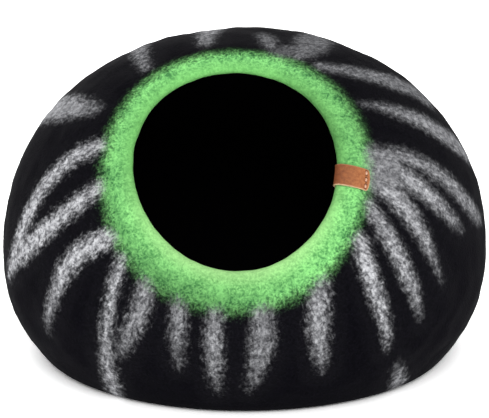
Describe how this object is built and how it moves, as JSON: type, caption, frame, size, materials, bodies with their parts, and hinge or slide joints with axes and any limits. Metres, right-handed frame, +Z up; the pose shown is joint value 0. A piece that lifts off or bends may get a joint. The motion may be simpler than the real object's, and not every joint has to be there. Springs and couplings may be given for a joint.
{
  "type": "cat cave bed",
  "caption": "Hollow pod of thick wet-felted wool with a flat foot and a round slanted mouth for a cat to enter; a folded leather tag sits on its lip.",
  "frame": {"origin": "on the floor, under the middle of the pod's bounding box", "axes": "+X to the right of someone facing the mouth from the front, +Y to the back, +Z up; the mouth faces -Y and upwards"},
  "size_m": [0.4993, 0.4244, 0.3359],
  "materials": {
    "wool_felt": "matte fulled wool, black with pale grey streaks and a bright green band felted in around the mouth",
    "tag_leather": "smooth tan leather with a fine grain, darker where it folds"
  },
  "bodies": {
    "root": {"felt_shell": "wool_felt", "leather_tag": "tag_leather"}
  },
  "joints": []
}
